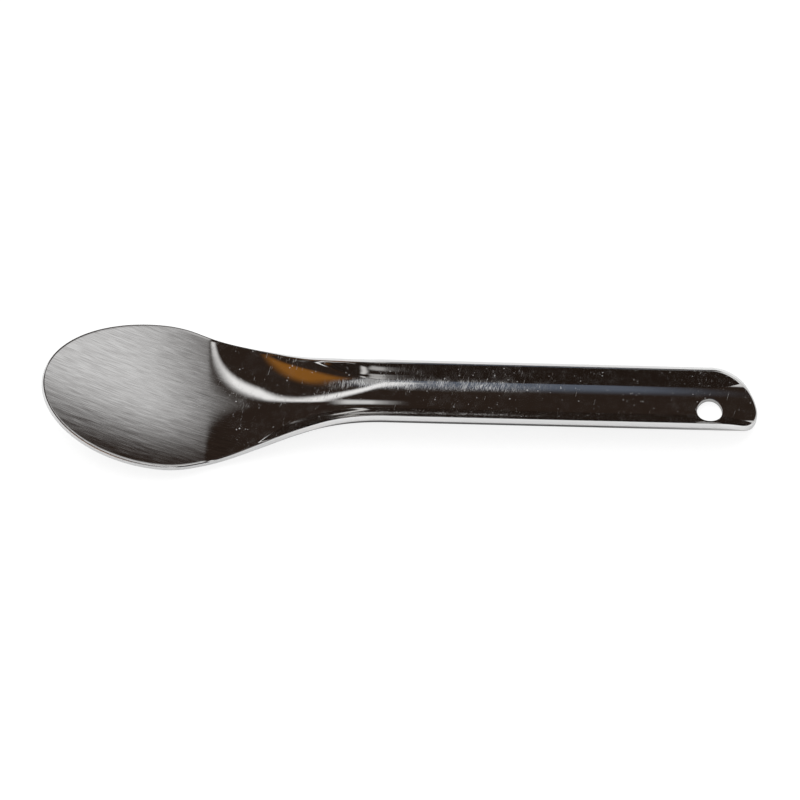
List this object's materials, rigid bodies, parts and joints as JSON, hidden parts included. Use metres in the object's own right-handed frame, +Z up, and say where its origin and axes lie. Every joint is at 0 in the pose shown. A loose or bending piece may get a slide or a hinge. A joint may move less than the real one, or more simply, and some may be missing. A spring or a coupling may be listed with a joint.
{
  "type": "ice cream spade",
  "caption": "One-piece spade pressed from sheet steel: oval shallow dished blade, folded neck and an open gutter handle with a rounded end and a hanging hole.",
  "frame": {"origin": "below the middle of the overall length, on the centre line, at the height of the table that the heel and the end of the handle rest on", "axes": "+X from the blade's tip to the end of the handle, +Z up, the way the dish and the gutter open, and +Y across"},
  "size_m": [0.2401, 0.0556, 0.0157],
  "materials": {
    "steel": "brushed blade, polished neck and handle, tumbled cut edges"
  },
  "bodies": {
    "root": {"spade": "steel"}
  },
  "joints": []
}
